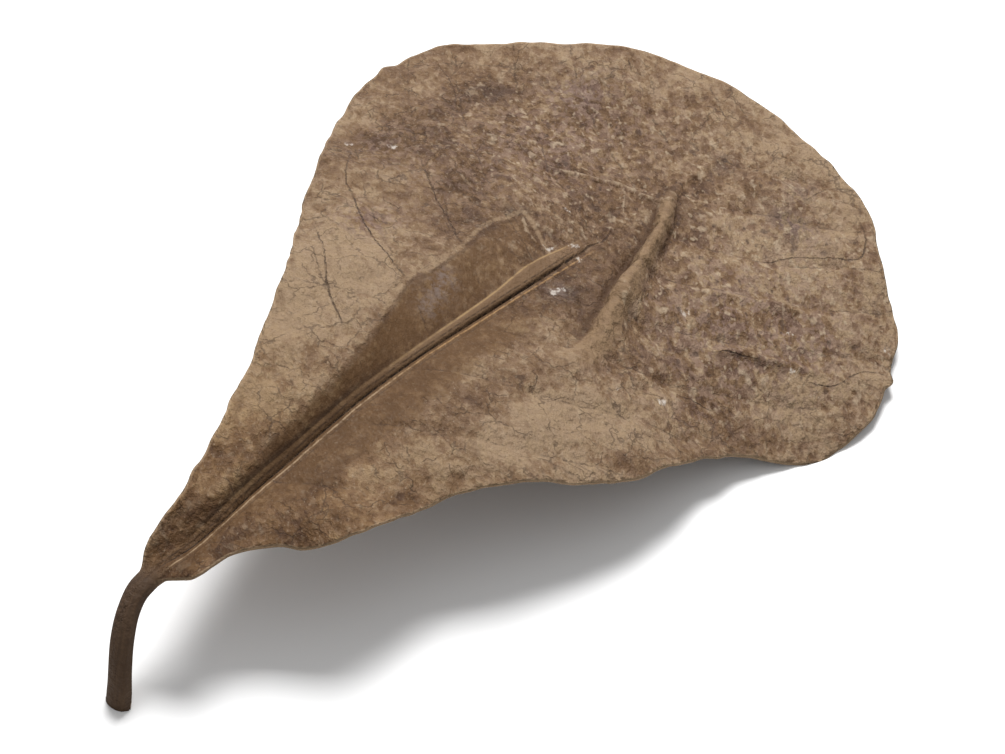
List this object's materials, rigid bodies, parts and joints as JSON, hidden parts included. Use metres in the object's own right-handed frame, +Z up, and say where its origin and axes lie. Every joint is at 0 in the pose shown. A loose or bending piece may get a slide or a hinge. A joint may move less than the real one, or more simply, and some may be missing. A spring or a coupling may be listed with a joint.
{
  "type": "indian almond leaf",
  "caption": "Dried Indian almond leaf, obovate, folded along its midrib, with a bent petiole, raised veins beneath and a pinched ridge, lying on a surface.",
  "frame": {"origin": "below the middle of the leaf's box, on the surface that the leaf lies on", "axes": "+Y along the midrib from the petiole to the apex, +X towards the half with the pinched ridge, +Z up out of the surface"},
  "size_m": [0.102, 0.1626, 0.0205],
  "materials": {
    "dried_leaf": "matte, leathery, finely wrinkled"
  },
  "bodies": {
    "root": {"leaf": "dried_leaf"}
  },
  "joints": []
}
